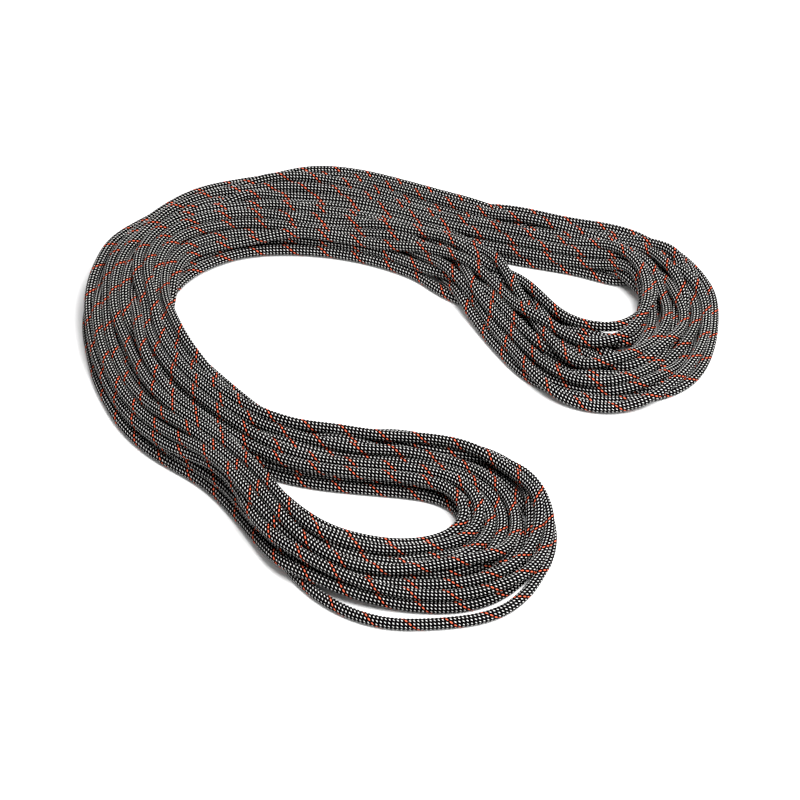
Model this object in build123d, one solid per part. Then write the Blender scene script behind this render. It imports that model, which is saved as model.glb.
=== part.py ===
from build123d import *
import math
import os

# A dynamic climbing rope laid down as an untied hank: one 9.8 mm kernmantle rope wound into
# a long closed ring, and the ring bent into a horseshoe with an open eye at each end.
# Millimetres. +Z is up, z = 0 is the surface that the hank lies on, and the origin is under
# the middle of the whole rope's box. The eyes lie towards +X, the horseshoe's back is at -X.

# Rope section
ROPE_RADIUS = 4.9
BORE_RADIUS = 3.5              # inside of the braided sheath
CORE_STRAND_RADIUS = 0.84
INNER_STRANDS = 3
OUTER_STRANDS = 9
STRAND_GAP = 0.02              # between a core strand and the sheath
TAPE_WIDTH = 1.3
TAPE_THICKNESS = 0.10
TAPE_RADIUS = 3.38             # middle of the tape, from the rope's axis

# Rope ends
END_LENGTH = 45.0              # the straight stretch of each end that has its inside modelled
TIP_LENGTH = 3.0               # melted plug that locks the sheath to the core
TIP_ROUND = 1.8
SLEEVE_LENGTH = 26.0
SLEEVE_START = 1.2             # sleeve's set-back from the end face
SLEEVE_WALL = 0.6
SLEEVE_ROUND = 0.25
END_HEIGHT = ROPE_RADIUS + SLEEVE_WALL  # axis height that stands the sleeve on the surface

# Hank
HANK_HEIGHT = 40.0
TOP_ROUND = 13.0
FOOT_ROUND = 3.5
ARC_SHARE = 0.45               # the part of the shorter run that a corner's arc may use
LARGEST_RADIUS = 600.0

# Middle of the whole box in the plan points' own axes, so that the origin is under it.
PLAN_CENTRE = (-0.15, 23.7)

OUTLINE = [
    (-299, 78), (-295, 127), (-282, 168), (-262, 216), (-225, 251), (-152, 295), (-91, 311),
    (-21, 301), (60, 267), (126, 242), (188, 223), (236, 213), (266, 184), (288, 142),
    (299, 100), (293, 60), (284, 28), (262, 8), (222, -14), (185, -20), (151, -14), (116, 10),
    (84, 55), (62, 98), (31, 141), (-16, 171), (-69, 189), (-140, 196), (-190, 173), (-207, 148),
    (-213, 118), (-211, 92), (-195, 56), (-162, 5), (-116, -42), (-75, -57), (-30, -58),
    (27, -62), (60, -70), (90, -86), (112, -110), (126, -146), (135, -188), (130, -212),
    (116, -235), (92, -247), (52, -250), (10, -255), (-30, -247), (-70, -228), (-102, -200),
    (-126, -170), (-149, -131), (-173, -109), (-233, -56), (-262, -14), (-282, 22),
]
RIGHT_EYE = [
    (112, 160), (150, 164), (196, 143), (222, 118), (225, 96), (186, 69), (150, 86), (124, 114),
]
LOWER_EYE = [
    (-118, -116), (-78, -122), (-36, -130), (12, -138), (44, -154), (42, -171), (16, -188),
    (-20, -199), (-62, -190), (-96, -161),
]

# Rope that isn't in the ring: one slack stretch at the front, and the two ends, each of which
# leaves the ring and lies beside it. The first point of an end's route is its tip.
SLACK_ROUTE = [(-113, -171), (-91, -213), (-57, -249), (-15, -268.8), (32, -268.8), (76, -261), (104, -239)]
BACK_END_ROUTE = [(-220, 264.5), (-167, 295), (-107, 318), (-50, 313), (0, 295), (45, 268), (82, 244)]
INNER_END_ROUTE = [(-8, -51.5), (-67, -47), (-118, -30), (-150, 4), (-184, 44), (-213, 80)]


def placed(points, height=0.0):
    """Plan points moved to the part's own origin, at one height."""
    return [Vector(x - PLAN_CENTRE[0], y - PLAN_CENTRE[1], height) for x, y in points]


def rounded(points, closed=False):
    """Straight runs joined by tangent arcs, each as large as its two runs allow."""
    count = len(points)
    radii = []
    for i in range(0 if closed else 1, count if closed else count - 1):
        before = points[i] - points[i - 1]
        after = points[(i + 1) % count] - points[i]
        shorter = min(before.length, after.length)
        widest = ARC_SHARE * shorter / math.tan(math.radians(before.get_angle(after)) / 2)
        radii.append(min(widest, LARGEST_RADIUS))
    return FilletPolyline(*points, radius=radii, close=closed), radii


def filled(points):
    """The flat face inside one closed, rounded outline."""
    edge, radii = rounded(placed(points), closed=True)
    return make_face(edge)


def ring_of_turns():
    """The outer shape of all the turns together: a flat-footed horseshoe with two eyes."""
    plan = filled(OUTLINE) - filled(RIGHT_EYE) - filled(LOWER_EYE)
    body = extrude(plan, HANK_HEIGHT)
    body = fillet(body.faces().sort_by(Axis.Z)[-1].edges(), TOP_ROUND)
    return fillet(body.faces().sort_by(Axis.Z)[0].edges(), FOOT_ROUND)


def rope_tube(name, points):
    """A plain round length of rope along a route of runs and arcs."""
    path, radii = rounded(points)
    section = Plane(origin=path @ 0, z_dir=path % 0) * Circle(ROPE_RADIUS)
    tube = sweep(section, path=path)
    expected = math.pi * ROPE_RADIUS**2 * path.length
    print(name, "length", round(path.length), "radii", [round(r) for r in radii])
    print(name, "volume over section x length", round(tube.volume / expected, 4))
    return tube


def between(plane, low, high, section):
    """A section pushed along the rope's axis, from one distance from the tip to another."""
    return plane.offset(low) * extrude(section, high - low)


def rope_end(name, plane):
    """The separate pieces of one rope end. The plane's origin is the tip, its normal runs inward."""
    pieces = {}
    tip = between(plane, 0, TIP_LENGTH, Circle(ROPE_RADIUS))
    end_face = tip.faces().sort_by(lambda face: (face.center() - plane.origin).length)[0]
    pieces["fused_tip"] = fillet(end_face.edges(), TIP_ROUND)

    sheath = Circle(ROPE_RADIUS) - Circle(BORE_RADIUS)
    pieces["sheath"] = between(plane, TIP_LENGTH, END_LENGTH, sheath)

    sleeve = Circle(ROPE_RADIUS + SLEEVE_WALL) - Circle(ROPE_RADIUS)
    sleeve = between(plane, SLEEVE_START, SLEEVE_START + SLEEVE_LENGTH, sleeve)
    rims = sleeve.edges().group_by(lambda edge: edge.length)[-1]
    pieces["end_sleeve"] = fillet(rims, SLEEVE_ROUND)

    inner_ring = 2 * CORE_STRAND_RADIUS / math.sqrt(3) + STRAND_GAP
    outer_ring = BORE_RADIUS - CORE_STRAND_RADIUS - STRAND_GAP
    rings = [(inner_ring, INNER_STRANDS, 20.0), (outer_ring, OUTER_STRANDS, 0.0)]
    number = 0
    for radius, count, first_angle in rings:
        for i in range(count):
            number += 1
            angle = math.radians(first_angle + 360 * i / count)
            middle = Pos(radius * math.cos(angle), radius * math.sin(angle))
            strand = between(plane, TIP_LENGTH, END_LENGTH, middle * Circle(CORE_STRAND_RADIUS))
            pieces[f"core_strand_{number:02d}"] = strand

    tape_angle = 180 / OUTER_STRANDS
    tape = Rot(0, 0, tape_angle) * Pos(TAPE_RADIUS, 0) * Rectangle(TAPE_THICKNESS, TAPE_WIDTH)
    pieces["tracer_tape"] = between(plane, TIP_LENGTH, END_LENGTH, tape)
    return {f"{name}_{piece}": solid for piece, solid in pieces.items()}


def end_and_tail(name, route):
    """One end of the rope: its detailed last stretch, and the plain tube back to the ring."""
    points = placed(route, END_HEIGHT)
    inward = (points[1] - points[0]).normalized()
    pieces = rope_end(name, Plane(origin=points[0], x_dir=(0, 0, 1), z_dir=inward))
    points[0] = points[0] + inward * END_LENGTH
    pieces[f"{name}_tail"] = rope_tube(f"{name}_tail", points)
    return pieces


pieces = {"hank": ring_of_turns()}
pieces["slack_turn"] = rope_tube("slack_turn", placed(SLACK_ROUTE, ROPE_RADIUS))
pieces.update(end_and_tail("back_end", BACK_END_ROUTE))
pieces.update(end_and_tail("inner_end", INNER_END_ROUTE))

os.makedirs("parts", exist_ok=True)
for node, solid in pieces.items():
    export_step(solid, f"parts/{node}.step")

box = Compound(children=list(pieces.values())).bounding_box()
print("nodes", len(pieces), "box", box.min, box.max, "middle", box.center())
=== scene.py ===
import math

import bpy
import numpy as np
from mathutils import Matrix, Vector


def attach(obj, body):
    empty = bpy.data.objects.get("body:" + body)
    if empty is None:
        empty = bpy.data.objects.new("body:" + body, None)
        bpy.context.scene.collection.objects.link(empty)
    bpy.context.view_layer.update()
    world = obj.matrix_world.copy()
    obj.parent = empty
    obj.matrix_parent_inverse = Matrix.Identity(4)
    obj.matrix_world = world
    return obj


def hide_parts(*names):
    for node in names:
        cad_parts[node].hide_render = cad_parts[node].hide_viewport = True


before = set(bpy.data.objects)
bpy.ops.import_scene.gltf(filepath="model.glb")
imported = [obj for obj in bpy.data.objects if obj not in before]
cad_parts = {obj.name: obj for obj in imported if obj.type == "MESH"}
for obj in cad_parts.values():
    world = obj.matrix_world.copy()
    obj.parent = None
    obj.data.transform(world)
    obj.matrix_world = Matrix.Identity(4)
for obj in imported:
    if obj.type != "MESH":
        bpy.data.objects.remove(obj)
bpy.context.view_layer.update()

# One dynamic climbing rope, wound into a long ring and laid down as a horseshoe. Metres, +Z up.
BODY = "rope"
MM = 0.001

# Rope and braid. The sheath is a one-over-one diamond braid: TURN_YARNS yarns run round each
# way, the pale ones in a right-handed helix, and cross PICKS times in each full turn round.
DIAMETER = 9.8 * MM
RADIUS = DIAMETER / 2
CORE_RADIUS = 3.62 * MM
CORE_SIDES, CORE_STEP = 12, 4    # the core's mesh has a ring for every fourth one of the sheath
TURN_YARNS = 10
YARN_PITCH = 33.3 * MM
CELL_ALONG = YARN_PITCH / TURN_YARNS
CELL_ROUND = math.pi * DIAMETER / TURN_YARNS
YARN_ANGLE = math.atan2(CELL_ROUND, CELL_ALONG)
RELIEF = 0.42 * MM               # how far the braid's hollows lie under its crowns

# Rope ends
END_HEIGHT = RADIUS + 0.6 * MM
END_LENGTH = 45 * MM
TIP_LENGTH = 3.0 * MM
SLEEVE = (1.2 * MM, 27.2 * MM)   # from the end face
SLEEVE_RADIUS = 5.5 * MM
SLEEVE_BORE = RADIUS + 0.05 * MM
SLEEVE_EDGE = 0.35 * MM          # the rounding of its rims
SLEEVE_BRAID = 0.07 * MM         # how deep the braid shows through it, and from where
SLEEVE_BRAID_FROM = 2 * MM
TIP_RADIUS = RADIUS + 0.02 * MM
END_SIDES = 48
SLEEVE_RINGS, TIP_RINGS = 53, 14

# Plan points, in the same axes as the CAD model's before it is centred.
PLAN_CENTRE = (-0.00015, 0.0237)
SLACK_ROUTE = [(-0.113, -0.171), (-0.091, -0.213), (-0.057, -0.249), (-0.015, -0.2688),
               (0.032, -0.2688), (0.076, -0.261), (0.104, -0.239)]
BACK_END_ROUTE = [(-0.220, 0.2645), (-0.167, 0.295), (-0.107, 0.318), (-0.050, 0.313),
                  (0.000, 0.295), (0.045, 0.268), (0.082, 0.244)]
INNER_END_ROUTE = [(-0.008, -0.0515), (-0.067, -0.047), (-0.118, -0.030), (-0.150, 0.004),
                   (-0.184, 0.044), (-0.213, 0.080)]

# The ring that every turn follows: x, y and the width of the bundle there. It runs clockwise
# from the neck, down the inner side, round the front eye, up the outer side and round the right.
RING = [
    (0.082, 0.150, 0.064), (0.044, 0.190, 0.058), (-0.014, 0.220, 0.058), (-0.080, 0.233, 0.056),
    (-0.143, 0.236, 0.048), (-0.212, 0.216, 0.044), (-0.246, 0.168, 0.043), (-0.247, 0.118, 0.044),
    (-0.234, 0.071, 0.043), (-0.207, 0.022, 0.043), (-0.171, -0.026, 0.045), (-0.135, -0.065, 0.046),
    (-0.090, -0.085, 0.055), (-0.035, -0.088, 0.069), (0.029, -0.093, 0.073), (0.079, -0.109, 0.080),
    (0.097, -0.157, 0.080), (0.089, -0.205, 0.100), (0.040, -0.217, 0.078), (-0.024, -0.220, 0.048),
    (-0.072, -0.208, 0.036), (-0.106, -0.176, 0.031), (-0.129, -0.128, 0.027), (-0.159, -0.086, 0.031),
    (-0.219, -0.046, 0.046), (-0.248, 0.012, 0.047), (-0.266, 0.073, 0.047), (-0.271, 0.128, 0.047),
    (-0.258, 0.190, 0.046), (-0.212, 0.237, 0.047), (-0.149, 0.279, 0.050), (-0.085, 0.291, 0.055),
    (-0.020, 0.277, 0.060), (0.050, 0.239, 0.061), (0.125, 0.213, 0.062), (0.200, 0.195, 0.074),
    (0.252, 0.184, 0.074), (0.266, 0.106, 0.075), (0.246, 0.054, 0.083), (0.205, 0.014, 0.090),
    (0.151, 0.035, 0.098), (0.114, 0.093, 0.078),
]
FULL_TURNS = 16
SLACK_TURN = 3
# Where the listed stretches meet the ring: how many turns along, and how far to its outside.
BACK_JOIN = (0.793, 0.57)
SLACK_JOINS = ((SLACK_TURN + 0.396, 1.00), (SLACK_TURN + 0.479, 0.51))
INNER_JOIN = (FULL_TURNS + 1.200, 1.20)
LOOP_ENDS = (0.355, 0.865)       # the far ends of the front and the right-hand loop, in turns
LOOP_END_REACH = 0.13            # how many turns each of them extends either way
LOOP_SHIFT = (9 * MM, 22 * MM)   # how far a turn may end short of its neighbours there, or past
LOOP_CLEAR = 0.22                # the share of half the width that stays free at its inner side
SPAN_STEPS = 24                  # points of the ring's line for each of its control points
END_SHARE = 0.1                  # the part of a turn that a listed end counts for
WOUND_FINENESS, ROPE_FINENESS = 6, 8         # points of a spline for each of its control points

# Winding. Places along the rope are counted in turns, and places across the bundle from -1 at
# the inside of the ring to 1 at its outside.
SEED = 12
POINTS_PER_TURN = 130
LANE_STEP, FIRST_LANE = 0.618034, 0.35       # the golden ratio spreads the turns evenly
NECK = 0.09                      # half the stretch over which a turn changes its lane
WANDER = (4.5, 0.16)             # bends in each turn, and how far they stray
RISE = 3.6                       # how much higher each turn starts, in mm
DRIFT = 0.16                     # how long the rope takes to reach a listed stretch
SHORT_DRIFT = 0.10
DRIFT_SPEED = 1.4
NO_DRIFT = 1e-6
BACK_RISE, INNER_FALL, SLACK_FALL = 0.3, 0.22, 0.12
JOIN_GAP = 0.010                 # left free between wound and hand-laid control points

# Settling
NODE_SPACING = 4.8 * MM
TOUCH = 9.72 * MM                # axis to axis where two lengths of rope lie against each other
REACH = TOUCH + 3 * MM           # pairs nearer than this are watched between two searches
SEARCH_EVERY = 4                 # steps
SKIP = math.ceil(1.6 * TOUCH / NODE_SPACING)     # nodes so near along the rope are no pair
SETTLE_STEPS = 640
FIRM_STEPS = 160
FAIR_STEPS = 30
SLOW_FROM = 0.6 * SETTLE_STEPS
FAST_DROP, SLOW_DROP = 0.35 * MM, 0.12 * MM  # for each step
LID = 43.5 * MM                  # no length of rope settles with its axis higher than this
LID_DROP = 30 * MM
LANE_PULL, WALL_PUSH = 0.01, 0.45
STRAIGHTEN = 0.05
FAIR_PASSES, LENGTH_PASSES = 2, 3
PUSHES, FIRM_PUSHES = 2, 4
SHARING = 0.55                   # how far a node's pushes are averaged and not added up
MAX_MOVE = 2 * MM                # for each step
TINY = 1e-12                     # stands in for a length of zero


# ---------------------------------------------------------------- camera, light and floor

TILT = math.radians(44)
LENS = 95.85                     # in mm, as is the sensor's width
SENSOR = 36
CAMERA_HEIGHT = 1.345
WORLD_LIGHT = 0.38
SOFTBOX = ((0.55, -0.45, 1.5), 1.1, 64)      # place, size and watts
FILL = ((-0.8, 0.6, 1.4), 1.2, 4)
FLOOR_SIZE = 30
FLOOR_SHADE = 0.93


def make_camera():
    data = bpy.data.cameras.new("camera")
    data.sensor_width = SENSOR
    data.lens = LENS
    camera = bpy.data.objects.new("camera", data)
    camera.location = (-PLAN_CENTRE[0], -CAMERA_HEIGHT / math.tan(TILT) - PLAN_CENTRE[1], CAMERA_HEIGHT)
    camera.rotation_euler = (math.pi / 2 - TILT, 0, 0)
    bpy.context.scene.collection.objects.link(camera)
    bpy.context.scene.camera = camera


def area_light(name, place, size, power):
    """A square lamp that faces the middle of the hank."""
    data = bpy.data.lights.new(name, "AREA")
    data.size = size
    data.energy = power
    lamp = bpy.data.objects.new(name, data)
    lamp.location = place
    lamp.rotation_euler = (-Vector(place)).to_track_quat("-Z", "Y").to_euler()
    bpy.context.scene.collection.objects.link(lamp)


def make_studio():
    bpy.context.scene.view_settings.view_transform = "Standard"
    world = bpy.data.worlds.new("studio")
    world.use_nodes = True
    background = world.node_tree.nodes["Background"]
    background.inputs["Color"].default_value = (1, 1, 1, 1)
    background.inputs["Strength"].default_value = WORLD_LIGHT
    bpy.context.scene.world = world
    area_light("softbox", *SOFTBOX)
    area_light("fill", *FILL)

    bpy.ops.mesh.primitive_plane_add(size=FLOOR_SIZE, location=(0, 0, 0))
    floor = bpy.context.object
    floor.name = "floor"
    material = bpy.data.materials.new("floor")
    material.use_nodes = True
    shader = material.node_tree.nodes["Principled BSDF"]
    shader.inputs["Base Color"].default_value = (FLOOR_SHADE, FLOOR_SHADE, FLOOR_SHADE, 1)
    shader.inputs["Roughness"].default_value = 0.9
    shader.inputs["Specular IOR Level"].default_value = 0.0
    floor.data.materials.append(material)


# ---------------------------------------------------------------- the rope's line

def nurbs_line(points, resolution):
    """The points of a smooth NURBS curve with these control points, read from Blender."""
    data = bpy.data.curves.new("line", "CURVE")
    data.dimensions = "3D"
    data.resolution_u = resolution
    spline = data.splines.new("NURBS")
    spline.points.add(len(points) - 1)
    spline.points.foreach_set("co", np.column_stack([points, np.ones(len(points))]).ravel())
    spline.order_u = 3
    spline.use_endpoint_u = True
    curve = bpy.data.objects.new("line", data)
    bpy.context.scene.collection.objects.link(curve)
    mesh = bpy.data.meshes.new_from_object(curve)
    line = np.empty(3 * len(mesh.vertices))
    mesh.vertices.foreach_get("co", line)
    bpy.data.objects.remove(curve)
    bpy.data.curves.remove(data)
    bpy.data.meshes.remove(mesh)
    return line.reshape(-1, 3)


def lengths_along(line):
    return np.concatenate([[0], np.cumsum(np.linalg.norm(np.diff(line, axis=0), axis=1))])


def sampled(values, at, wanted):
    """Columns of values, known at the rising numbers at, read at the wanted ones."""
    return np.column_stack([np.interp(wanted, at, column) for column in values.T])


def ease(u):
    u = np.clip(u, 0, 1)
    return u * u * (3 - 2 * u)


class Ring:
    """The closed line that the turns follow, with its width, as a function of turns."""

    def __init__(self):
        points = np.array(RING)
        count = len(points)
        steps = np.linspace(0, 1, SPAN_STEPS, endpoint=False)[:, None]
        spans = []
        for i in range(count):
            middle, after = points[i], points[(i + 1) % count]
            start, end = (points[i - 1] + middle) / 2, (middle + after) / 2
            spans.append((1 - steps) ** 2 * start + 2 * steps * (1 - steps) * middle + steps**2 * end)
        line = np.concatenate(spans)
        self.line = np.vstack([line, line[:1]])
        self.at = lengths_along(self.line[:, :2])

    def place(self, turns):
        """Plan position, unit vector towards the outside of the ring, and half the width."""
        total = self.at[-1]
        along = (turns % 1.0) * total
        here = sampled(self.line, self.at, along)
        step = 3 * MM
        ahead = sampled(self.line[:, :2], self.at, (along + step) % total)
        behind = sampled(self.line[:, :2], self.at, (along - step) % total)
        run = ahead - behind
        run /= np.linalg.norm(run, axis=1)[:, None]
        return here[:, :2], np.column_stack([-run[:, 1], run[:, 0]]), (here[:, 2] - DIAMETER) / 2


def wander(random, turns, knots_per_turn, size):
    """A smooth random drift along the rope."""
    first = math.floor(turns.min()) - 2
    count = int((math.ceil(turns.max()) + 3 - first) * knots_per_turn)
    values = random.uniform(-size, size, count)
    x = (turns - first) * knots_per_turn
    i = np.floor(x).astype(int)
    f = x - i
    start, end = (values[i - 1] + values[i]) / 2, (values[i] + values[i + 1]) / 2
    return (1 - f) ** 2 * start + 2 * f * (1 - f) * values[i] + f * f * end


def towards(side, turns, join, before, after):
    """Lets the rope drift across the bundle to meet a listed stretch."""
    gap = turns - join[0]
    u = ease(DRIFT_SPEED * np.where(gap < 0, 1 + gap / before, 1 - gap / after))
    return side * (1 - u) + join[1] * u


def at_loop_end(turns, middle):
    """1 at the far end of a loop, where nothing holds the turns together, else 0."""
    return ease(1 - np.abs(turns % 1.0 - middle) / LOOP_END_REACH)


def inner_edge(turns):
    """How far to the inside of the ring a turn may lie. It is less at the far ends of the loops,
    where the innermost turns would bend too tightly."""
    return LOOP_CLEAR * sum(at_loop_end(turns, middle) for middle in LOOP_ENDS) - 1


def wound_turns(ring, random):
    """Control points of the turns before they settle: each turn keeps to its own place across
    the bundle, changes to the next one in the neck, and starts above the turn before it."""
    turns = np.arange(BACK_JOIN[0], INNER_JOIN[0], 1 / POINTS_PER_TURN)
    lanes = (np.arange(FULL_TURNS + 3) * LANE_STEP + FIRST_LANE) % 1.0 * 2 - 1
    number = np.floor(turns).astype(int)
    part = turns - number
    into = ease(0.5 + part / (2 * NECK))
    out = ease((part - 1 + NECK) / (2 * NECK))
    last, this, following = lanes[number - 1], lanes[number], lanes[number + 1]
    side = np.where(part < NECK, last * (1 - into) + this * into, this)
    side = np.where(part > 1 - NECK, this * (1 - out) + following * out, side)
    side = side + wander(random, turns, *WANDER)
    plan, outward, half = ring.place(turns)
    for middle, shift in zip(LOOP_ENDS, LOOP_SHIFT):
        reach = random.uniform(-shift, shift, (len(lanes), 2))[number]
        side = side + (outward * reach).sum(1) / half * at_loop_end(turns, middle)
    side = np.clip(side, inner_edge(turns), 1)
    side = towards(side, turns, BACK_JOIN, 1, DRIFT)
    side = towards(side, turns, INNER_JOIN, DRIFT, 1)
    side = towards(side, turns, SLACK_JOINS[0], DRIFT, NO_DRIFT)
    side = towards(side, turns, SLACK_JOINS[1], NO_DRIFT, SHORT_DRIFT)

    plan = plan + outward * (side * half)[:, None]
    height = RADIUS + (turns - BACK_JOIN[0]) * RISE * MM
    height = END_HEIGHT + (height - END_HEIGHT) * ease((turns - BACK_JOIN[0]) / BACK_RISE)
    height = END_HEIGHT + (height - END_HEIGHT) * ease((INNER_JOIN[0] - turns) / INNER_FALL)
    for (at, _), away in zip(SLACK_JOINS, (-1, 1)):
        low = ease(1 - (turns - at) * away / SLACK_FALL) * ((turns - at) * away > 0)
        height = height * (1 - low) + RADIUS * low
    return turns, np.column_stack([plan, height])


def control_points(ring):
    """The whole rope from end to end: the listed stretches and the turns between them.
    Gives the points, each one's place on the ring in turns, and whether it stays put."""
    turns, points = wound_turns(ring, np.random.default_rng(SEED))
    start, (leave, rejoin), end = BACK_JOIN[0], [at for at, _ in SLACK_JOINS], INNER_JOIN[0]
    legs = [
        (BACK_END_ROUTE, END_HEIGHT, start - END_SHARE, start),
        (turns > start + JOIN_GAP) & (turns < leave - JOIN_GAP),
        (SLACK_ROUTE[::-1], RADIUS, leave, rejoin),
        (turns > rejoin + JOIN_GAP) & (turns < end - JOIN_GAP),
        (INNER_END_ROUTE[::-1], END_HEIGHT, end, end + END_SHARE),
    ]
    where, at, fixed = [], [], []
    for leg in legs:
        if isinstance(leg, tuple):
            route, height, low, high = leg
            where.append([(x, y, height) for x, y in route])
            at.append(np.linspace(low, high, len(route)))
            fixed.append(np.ones(len(route), bool))
        else:
            where.append(points[leg])
            at.append(turns[leg])
            fixed.append(np.zeros(leg.sum(), bool))
    return np.vstack(where), np.concatenate(at), np.concatenate(fixed)


# ---------------------------------------------------------------- settling

def close_pairs(x):
    """Pairs of nodes nearer than REACH, apart from neighbours along the rope."""
    cell = np.floor((x - x.min(0)) / REACH).astype(np.int64) + 1
    size = cell.max(0) + 2
    key = (cell[:, 0] * size[1] + cell[:, 1]) * size[2] + cell[:, 2]
    order = np.argsort(key, kind="stable")
    sorted_key = key[order]
    firsts, seconds = [], []
    steps = (-1, 0, 1)
    for offset in [(i * size[1] + j) * size[2] + k for i in steps for j in steps for k in steps]:
        if offset < 0:
            continue
        low = np.searchsorted(sorted_key, key + offset, "left")
        count = np.searchsorted(sorted_key, key + offset, "right") - low
        first = np.repeat(np.arange(len(x)), count)
        within = np.arange(count.sum()) - np.repeat(np.cumsum(count) - count, count)
        second = order[np.repeat(low, count) + within]
        keep = first < second if offset == 0 else np.ones(len(first), bool)
        firsts.append(first[keep])
        seconds.append(second[keep])
    first, second = np.concatenate(firsts), np.concatenate(seconds)
    keep = np.abs(first - second) > SKIP
    first, second = first[keep], second[keep]
    gap = x[first] - x[second]
    keep = (gap * gap).sum(1) < REACH * REACH
    return first[keep], second[keep]


def keep_lengths(x, loose):
    """Brings neighbours along the rope back to their distance, every other gap at a time."""
    for parity in (0, 1):
        i = np.arange(parity, len(x) - 1, 2)
        run = x[i + 1] - x[i]
        length = np.linalg.norm(run, axis=1) + TINY
        share = loose[i] + loose[i + 1]
        share[share == 0] = 1
        move = ((length - NODE_SPACING) / length / share)[:, None] * run
        x[i] += move * loose[i][:, None]
        x[i + 1] -= move * loose[i + 1][:, None]


def push_apart(x, loose, first, second):
    """Moves each pair that lies too close apart, less where a node is in many such pairs."""
    gap = x[first] - x[second]
    length = np.linalg.norm(gap, axis=1) + TINY
    share = loose[first] + loose[second]
    keep = (length < TOUCH) & (share > 0)
    first, second, gap, length, share = first[keep], second[keep], gap[keep], length[keep], share[keep]
    move = ((TOUCH - length) / length / share)[:, None] * gap
    count = len(x)
    total = np.empty_like(x)
    for axis in range(3):
        total[:, axis] = np.bincount(first, move[:, axis] * loose[first], count)
        total[:, axis] -= np.bincount(second, move[:, axis] * loose[second], count)
    touching = np.bincount(first, minlength=count) + np.bincount(second, minlength=count)
    x += total / np.maximum(1, SHARING * touching)[:, None]


def faired(x, free, pull):
    """Takes short wiggles out of the line and, by pull, draws it a little straighter."""
    bend = np.zeros_like(x)
    bend[1:-1] = 0.5 * (x[:-2] + x[2:]) - x[1:-1]
    change = np.zeros_like(x)
    change[1:-1] = 0.5 * (bend[:-2] + bend[2:]) - bend[1:-1]
    return x + (pull * bend - 0.5 * change) * free


def settled(x, loose, turns, ring):
    """Lets the turns drop and push each other aside until they lie on each other and the floor,
    under a lid that comes down. Last, with nothing pulling, they only push each other apart."""
    middle, outward, half = ring.place(turns)
    lane = ((x[:, :2] - middle) * outward).sum(1)
    free = loose[:, None]
    inside = half * inner_edge(turns)
    for step in range(SETTLE_STEPS + FIRM_STEPS):
        before = x.copy()
        falling = step < SETTLE_STEPS
        lid = LID + LID_DROP * max(0, 1 - step / SLOW_FROM)
        if falling:
            x[:, 2] -= (FAST_DROP if step < SLOW_FROM else SLOW_DROP) * loose
            side = ((x[:, :2] - middle) * outward).sum(1)
            back = LANE_PULL * (lane - side) + WALL_PUSH * (np.clip(side, inside, half) - side)
            x[:, :2] += outward * (back * loose)[:, None]
        for _ in range(FAIR_PASSES):
            x = faired(x, free, STRAIGHTEN)
        for _ in range(LENGTH_PASSES):
            keep_lengths(x, loose)
        if step % SEARCH_EVERY == 0:
            first, second = close_pairs(x)
        for _ in range(PUSHES if falling else FIRM_PUSHES):
            push_apart(x, loose, first, second)
            x[:, 2] = np.where(loose > 0, np.clip(x[:, 2], RADIUS, lid), x[:, 2])
        move = x - before
        far = np.linalg.norm(move, axis=1)[:, None]
        x = before + move * np.minimum(1, MAX_MOVE / np.maximum(far, TINY))
    for _ in range(FAIR_STEPS):
        x = faired(x, free, 0)
        x[:, 2] = np.maximum(x[:, 2], RADIUS)
    return x


def rope_line():
    """The settled rope as control points of one spline, listed stretches unchanged."""
    ring = Ring()
    points, at, fixed = control_points(ring)
    line = nurbs_line(points, WOUND_FINENESS)
    # A vertex of the line lies nearest to the control point of this number.
    number = np.linspace(0.5, len(points) - 1.5, len(line))
    number[0], number[-1] = 0, len(points) - 1
    along = lengths_along(line)
    wanted = np.arange(0, along[-1], NODE_SPACING)
    x = sampled(line, along, wanted)
    number = np.interp(wanted, along, number)
    turns = np.interp(number, np.arange(len(at)), at)
    loose = 1.0 - fixed[np.rint(number).astype(int)]
    x = settled(x, loose, turns, ring)
    placed = []
    for leg_fixed, start, stop in runs_of(fixed):
        if leg_fixed:
            placed.append(points[start:stop])
        else:
            inside = (loose > 0) & (number > start - 0.5) & (number < stop - 0.5)
            placed.append(x[inside][1:-1:2])
    points = np.vstack(placed)
    points[:, :2] -= PLAN_CENTRE
    return points


def runs_of(flags):
    """Stretches of equal flags: the flag, the first number and the one past the last."""
    edges = [0, *(np.flatnonzero(np.diff(flags.astype(int))) + 1), len(flags)]
    return [(bool(flags[a]), a, b) for a, b in zip(edges[:-1], edges[1:])]


# ---------------------------------------------------------------- meshes along the line

def frames_along(line):
    """A pair of side vectors along the line, which turn round the rope as little as they can."""
    run = np.gradient(line, axis=0)
    run /= np.linalg.norm(run, axis=1)[:, None]
    side = Vector((0, 0, 1)).cross(Vector(run[0])).normalized()
    sides = []
    tangents = [Vector(t) for t in run]
    before = tangents[0]
    for tangent in tangents:
        side = before.rotation_difference(tangent) @ side
        side = (side - tangent * side.dot(tangent)).normalized()
        sides.append(side[:])
        before = tangent
    sides = np.array(sides)
    return sides, np.cross(run, sides)


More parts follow.
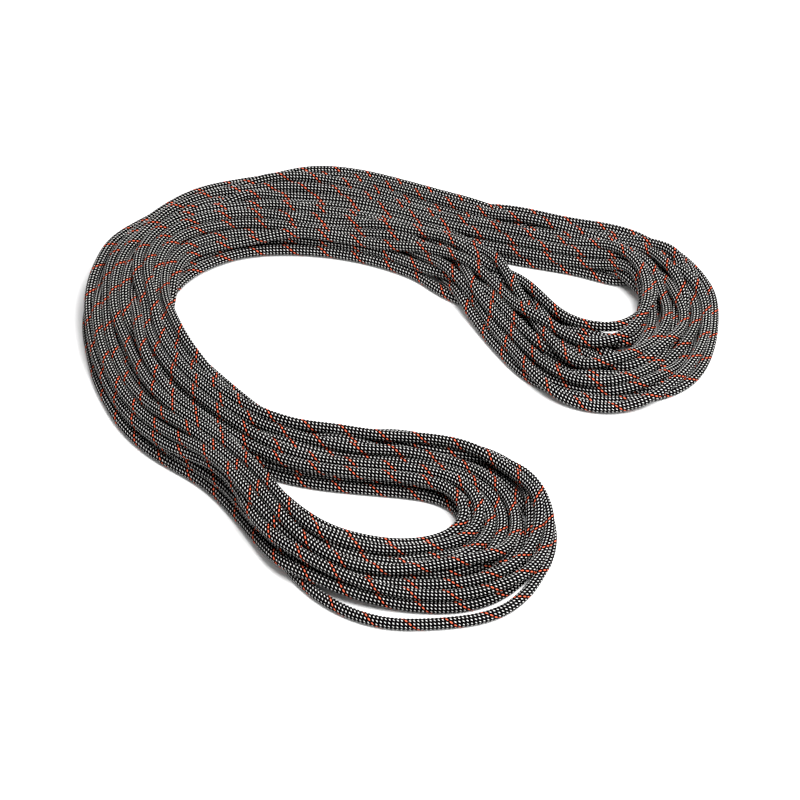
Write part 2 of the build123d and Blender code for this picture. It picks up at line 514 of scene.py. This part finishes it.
def mesh_object(name, vertices, faces, uv=None):
    mesh = bpy.data.meshes.new(name)
    mesh.vertices.add(len(vertices))
    mesh.vertices.foreach_set("co", np.ascontiguousarray(vertices, dtype=np.float32).ravel())
    faces = np.asarray(faces, dtype=np.int32)
    mesh.loops.add(faces.size)
    mesh.loops.foreach_set("vertex_index", faces.ravel())
    mesh.polygons.add(len(faces))
    mesh.polygons.foreach_set("loop_start", np.arange(0, faces.size, faces.shape[1], dtype=np.int32))
    mesh.polygons.foreach_set("use_smooth", np.full(len(faces), True))
    if uv is not None:
        layer = mesh.uv_layers.new(name="braid")
        layer.data.foreach_set("uv", np.ascontiguousarray(uv, dtype=np.float32).ravel())
    mesh.update(calc_edges=True)
    mesh.validate()
    piece = bpy.data.objects.new(name, mesh)
    bpy.context.scene.collection.objects.link(piece)
    return piece


def angles_round(count):
    return 2 * math.pi * np.arange(count) / count


def rings_round(line, sides, ups, radii):
    """Vertices of rings round a line. radii has a row for each ring and a column for each point
    of it."""
    angle = angles_round(radii.shape[1])
    spoke = sides[:, None] * np.cos(angle)[None, :, None] + ups[:, None] * np.sin(angle)[None, :, None]
    return (line[:, None] + spoke * radii[:, :, None]).reshape(-1, 3)


def quads(rings, count, closed=False):
    """Faces between rings of count points, with the ring and the point that each starts at. When
    closed, the last ring joins the first."""
    ring, point = np.meshgrid(np.arange(rings if closed else rings - 1), np.arange(count), indexing="ij")
    other, after = (ring + 1) % rings, (point + 1) % count
    faces = np.stack([ring * count + point, ring * count + after,
                      other * count + after, other * count + point], -1).reshape(-1, 4)
    return faces, ring, point


def tube(name, line, sides, ups, radii, uv_start=None):
    """A tube round a line. With uv_start, the UV map counts braid cells along and round."""
    vertices = rings_round(line, sides, ups, radii)
    faces, ring, point = quads(*radii.shape)
    uv = None
    if uv_start is not None:
        u = uv_start + np.stack([ring, ring, ring + 1, ring + 1], -1) / 2
        v = np.stack([point, point + 1, point + 1, point], -1) / 2
        uv = np.stack([u, v], -1)
    return mesh_object(name, vertices, faces, uv)


# ---------------------------------------------------------------- materials

class Nodes:
    """Short names for the nodes of one material."""

    def __init__(self, name):
        self.material = bpy.data.materials.new(name)
        self.material.use_nodes = True
        self.tree = self.material.node_tree
        self.shader = self.tree.nodes["Principled BSDF"]

    def node(self, kind, **settings):
        made = self.tree.nodes.new(kind)
        for key, value in settings.items():
            setattr(made, key, value)
        return made

    def link(self, value, socket):
        if isinstance(value, (int, float)):
            socket.default_value = value
        elif isinstance(value, tuple):
            socket.default_value = (*value, 1)[: len(socket.default_value)]
        else:
            self.tree.links.new(value, socket)

    def math(self, operation, *values, clamp=False):
        made = self.node("ShaderNodeMath", operation=operation, use_clamp=clamp)
        for value, socket in zip(values, made.inputs):
            self.link(value, socket)
        return made.outputs[0]

    def add(self, a, b):
        return self.math("ADD", a, b)

    def sub(self, a, b):
        return self.math("SUBTRACT", a, b)

    def mul(self, a, b):
        return self.math("MULTIPLY", a, b)

    def ramp(self, value, low, high, start=0.0, end=1.0):
        """Smoothly from start to end as value goes from low to high."""
        made = self.node("ShaderNodeMapRange", interpolation_type="SMOOTHSTEP")
        for key, number in zip(("Value", "From Min", "From Max", "To Min", "To Max"),
                               (value, low, high, start, end)):
            self.link(number, made.inputs[key])
        return made.outputs[0]

    def mix(self, factor, a, b):
        made = self.node("ShaderNodeMix", data_type="RGBA")
        self.link(factor, made.inputs["Factor"])
        self.link(a, made.inputs[6])
        self.link(b, made.inputs[7])
        return made.outputs[2]

    def scaled(self, colour, factor):
        made = self.node("ShaderNodeVectorMath", operation="SCALE")
        self.link(colour, made.inputs[0])
        self.link(factor, made.inputs["Scale"])
        return made.outputs[0]

    def vector(self, x, y, z=0.0):
        made = self.node("ShaderNodeCombineXYZ")
        for value, socket in zip((x, y, z), made.inputs):
            self.link(value, socket)
        return made.outputs[0]

    def noise(self, vector, scale, detail=2.0):
        made = self.node("ShaderNodeTexNoise")
        self.link(vector, made.inputs["Vector"])
        self.link(scale, made.inputs["Scale"])
        self.link(detail, made.inputs["Detail"])
        return made.outputs["Fac"]

    def bump(self, height, distance, strength=1.0):
        made = self.node("ShaderNodeBump")
        self.link(height, made.inputs["Height"])
        self.link(distance, made.inputs["Distance"])
        self.link(strength, made.inputs["Strength"])
        self.tree.links.new(made.outputs[0], self.shader.inputs["Normal"])

    def set(self, **values):
        for key, value in values.items():
            self.link(value, self.shader.inputs[key.replace("_", " ")])


PALE_CROWN = (0.96, 0.39)        # half the length and half the width that show, in mm
BLACK_CROWN = (1.62, 0.98)
RED_GAIN = 0.30                  # taken off the distance from a red crown's middle, to show it larger
FIBRE_LENGTHWAYS, FIBRE_ACROSS = 0.45, 5.0
PALE = (0.90, 0.89, 0.87)
RED = (1.0, 0.165, 0.08)
BLACK = (0.0015, 0.0015, 0.0016)


def braid_material():
    """Black yarns one way and pale ones the other, one pale yarn in ten being orange-red."""
    m = Nodes("braided_sheath")
    uv = m.node("ShaderNodeSeparateXYZ")
    m.link(m.node("ShaderNodeUVMap", uv_map="braid").outputs[0], uv.inputs[0])
    along, round_ = uv.outputs[0], uv.outputs[1]

    def yarn(shift, angle):
        """The nearest crown of the yarns of one direction: its cell and the place on it, in mm."""
        cell_u = m.math("FLOOR", m.add(along, shift))
        cell_v = m.math("FLOOR", m.add(round_, shift))
        x = m.mul(m.sub(m.sub(m.add(along, shift), cell_u), 0.5), CELL_ALONG / MM)
        y = m.mul(m.sub(m.sub(m.add(round_, shift), cell_v), 0.5), CELL_ROUND / MM)
        lengthways = m.add(m.mul(x, math.cos(angle)), m.mul(y, math.sin(angle)))
        across = m.sub(m.mul(y, math.cos(angle)), m.mul(x, math.sin(angle)))
        return cell_u, cell_v, lengthways, across

    def crown(lengthways, across, half_length, half_width):
        """0 in the middle of a crown, 1 on its rim."""
        a = m.math("POWER", m.math("ABSOLUTE", m.mul(lengthways, 1 / half_length)), 2.0)
        b = m.math("POWER", m.math("ABSOLUTE", m.mul(across, 1 / half_width)), 2.0)
        return m.math("SQRT", m.add(a, b))

    def fibres_of(lengthways, across, cell, step):
        """Noise drawn out along the yarn, and different in each cell."""
        drawn_out = m.vector(
            m.mul(lengthways, FIBRE_LENGTHWAYS), m.mul(across, FIBRE_ACROSS), m.mul(cell, step))
        return m.noise(drawn_out, 2.2)

    cell_u, cell_v, pale_l, pale_a = yarn(0.5, YARN_ANGLE)
    _, _, black_l, black_a = yarn(0.0, -YARN_ANGLE)
    pale = crown(pale_l, pale_a, *PALE_CROWN)
    black = crown(black_l, black_a, *BLACK_CROWN)
    number = m.math("FLOORED_MODULO", m.sub(cell_u, cell_v), float(TURN_YARNS))
    is_red = m.math("LESS_THAN", number, 0.5)
    pale = m.mul(pale, m.sub(1.0, m.mul(is_red, RED_GAIN)))
    is_pale = m.ramp(pale, 1.10, 0.92)
    each = m.node("ShaderNodeTexWhiteNoise", noise_dimensions="2D")
    m.link(m.vector(cell_u, cell_v), each.inputs["Vector"])
    fibres = fibres_of(pale_l, pale_a, cell_u, 0.37)
    dark_fibres = fibres_of(black_l, black_a, cell_v, 0.71)
    # Painted shade: a thin line along the middle of each pale crown is drawn up to 14 per cent darker, in
    # the groove between its plaits.
    plait_groove_shade = m.ramp(m.math("ABSOLUTE", pale_a), 0.0, 0.14, 0.86, 1.0)

    tone_and_shade = m.mul(m.ramp(fibres, 0.30, 0.62, 0.84, 1.0), plait_groove_shade)
    tone_and_shade = m.mul(tone_and_shade, m.ramp(each.outputs["Value"], 0.0, 1.0, 0.88, 1.0))
    # Painted shade: each pale crown is drawn up to 15 per cent darker towards its rim, where the yarn
    # dips under the crossing yarn.
    tone_and_shade = m.mul(tone_and_shade, m.ramp(pale, 0.45, 1.05, 1.0, 0.85))
    yarn_colour = m.mix(is_red, PALE, RED)
    yarn_colour = m.scaled(yarn_colour, tone_and_shade)
    # Painted shade with fibre texture: the black yarn is drawn darker from its crown out to its rim and
    # into the hollows, down to 0.3 of its colour. Its fibres vary it between 0.6 and 1.25.
    fibres_and_hollow_shade = m.mul(m.ramp(black, 0.2, 1.15, 1.0, 0.30), m.ramp(dark_fibres, 0.3, 0.7, 0.6, 1.25))
    black_and_hollow_shade = m.scaled(BLACK, fibres_and_hollow_shade)
    m.set(Base_Color=m.mix(is_pale, black_and_hollow_shade, yarn_colour))
    m.set(Roughness=m.ramp(is_pale, 0.0, 1.0, 0.60, 0.78), Specular_IOR_Level=0.02)

    domes = m.math("MAXIMUM", m.ramp(pale, 1.2, 0.1), m.ramp(black, 1.2, 0.1))
    threads = m.mul(m.add(fibres, dark_fibres), 0.22)
    m.bump(m.add(domes, threads), 0.22 * MM, 0.9)
    return m.material


def core_material():
    """Undyed twisted yarn of the core."""
    m = Nodes("core_yarn")
    place = m.node("ShaderNodeNewGeometry").outputs["Position"]
    twist = m.noise(place, 900.0, 3.0)
    m.set(Base_Color=m.mix(twist, (0.62, 0.60, 0.54), (0.86, 0.85, 0.80)), Roughness=0.85)
    m.bump(twist, 0.2 * MM, 0.6)
    return m.material


def plastic_material(name, low, high, rough, grain, scale):
    """Thin or melted plastic with an uneven, slightly wavy surface."""
    m = Nodes(name)
    place = m.node("ShaderNodeNewGeometry").outputs["Position"]
    wave = m.noise(place, scale, 3.0)
    m.set(Base_Color=m.mix(wave, low, high), Roughness=m.ramp(wave, 0.3, 0.7, rough[0], rough[1]))
    m.bump(wave, grain, 0.5)
    return m.material


# ---------------------------------------------------------------- the rope's pieces

def braid_radii(rings, first):
    """Crowns where two yarns cross, hollows between them, in a chequer of half cells."""
    ring, point = np.meshgrid(np.arange(first, first + rings), np.arange(2 * TURN_YARNS), indexing="ij")
    return RADIUS - RELIEF * ((ring + point) % 2)


def make_rope():
    points = rope_line()
    line = nurbs_line(points, ROPE_FINENESS)
    along = lengths_along(line)
    length = along[-1]
    rings = int(round(length / (CELL_ALONG / 2)))
    wanted = np.linspace(0, length, rings + 1)
    line = sampled(line, along, wanted)
    sides, ups = frames_along(line)

    braid = braid_material()
    pieces = []
    count = FULL_TURNS + 1
    edges = np.linspace(0, rings, count + 1).astype(int)
    for number, (start, stop) in enumerate(zip(edges[:-1], edges[1:]), 1):
        part = slice(start, stop + 1)
        radii = braid_radii(stop + 1 - start, start)
        piece = tube(f"sheath_{number:02d}", line[part], sides[part], ups[part], radii, start / 2)
        piece.data.materials.append(braid)
        pieces.append(piece)

    inside = (wanted > END_LENGTH) & (wanted < length - END_LENGTH)
    keep = np.flatnonzero(inside)[::CORE_STEP]
    core = tube("core", line[keep], sides[keep], ups[keep], np.full((len(keep), CORE_SIDES), CORE_RADIUS))
    core.data.materials.append(core_material())
    return core, pieces, line, sides, ups, wanted, length


def end_pieces(name, line, sides, ups, wanted):
    """The shrunk sleeve and the melted tip of one end; the line starts at the tip."""
    angle = angles_round(END_SIDES)

    def turned(part, distances, radii, closed):
        at, side, up = (sampled(values, wanted, distances) for values in (line, sides, ups))
        faces, _, _ = quads(*radii.shape, closed)
        return mesh_object(f"{name}_{part}", rings_round(at, side, up, radii), faces)

    low, high = SLEEVE
    outer = np.linspace(low, high, SLEEVE_RINGS)
    from_rim = np.minimum(outer - low, high - outer)
    lift = SLEEVE_RADIUS - SLEEVE_EDGE * np.exp(-from_rim / SLEEVE_EDGE)
    cells = np.cos(2 * math.pi * outer[:, None] / CELL_ALONG) * np.cos(TURN_YARNS * angle)[None]
    shown = lift[:, None] + SLEEVE_BRAID * (cells - 1) * ease(from_rim / SLEEVE_BRAID_FROM)[:, None]
    distances = np.concatenate([outer, outer[::-1]])
    radii = np.vstack([shown, np.full((SLEEVE_RINGS, END_SIDES), SLEEVE_BORE)])
    sleeve = turned("sleeve", distances, radii, True)

    steps = np.linspace(0, 1, TIP_RINGS)
    dome = TIP_RADIUS * np.sqrt(np.clip(1 - steps**5, 0.0004, 1))
    lumps = 1 + 0.02 * np.sin(3 * angle + 1) + 0.012 * np.sin(7 * angle + 2)
    radii = dome[:, None] * (1 + (lumps[None] - 1) * steps[:, None])
    tip = turned("tip", TIP_LENGTH * (1 - steps), radii, False)
    return sleeve, tip


make_camera()
make_studio()
core, sheath, line, sides, ups, wanted, length = make_rope()

film = plastic_material("shrunk_film", low=(0.010, 0.010, 0.011), high=(0.022, 0.022, 0.024),
                        rough=(0.30, 0.42), grain=0.1 * MM, scale=300.0)
melt = plastic_material("melted_yarn", low=(0.006, 0.006, 0.006), high=(0.03, 0.028, 0.028),
                        rough=(0.25, 0.55), grain=0.3 * MM, scale=500.0)
tape = plastic_material("tape_film", low=(0.55, 0.42, 0.06), high=(0.75, 0.60, 0.12),
                        rough=(0.45, 0.60), grain=0.05 * MM, scale=400.0)
strand = core.data.materials[0]

ends = []
for name, order in (("back_end", slice(None)), ("inner_end", slice(None, None, -1))):
    distance = wanted if name == "back_end" else length - wanted[::-1]
    sleeve, tip = end_pieces(name, line[order], sides[order], ups[order], distance)
    sleeve.data.materials.append(film)
    tip.data.materials.append(melt)
    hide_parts(f"{name}_end_sleeve")
    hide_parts(f"{name}_fused_tip")
    ends += [sleeve, tip]

for node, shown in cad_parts.items():
    for word, material in (("core_strand", strand), ("tracer_tape", tape)):
        if word in node:
            shown.data.materials.clear()
            shown.data.materials.append(material)

for piece in [core, *sheath, *ends]:
    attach(piece, BODY)
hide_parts("back_end_tail", "back_end_sheath")
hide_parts("slack_turn")
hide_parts("inner_end_tail", "inner_end_sheath")
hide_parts("hank")
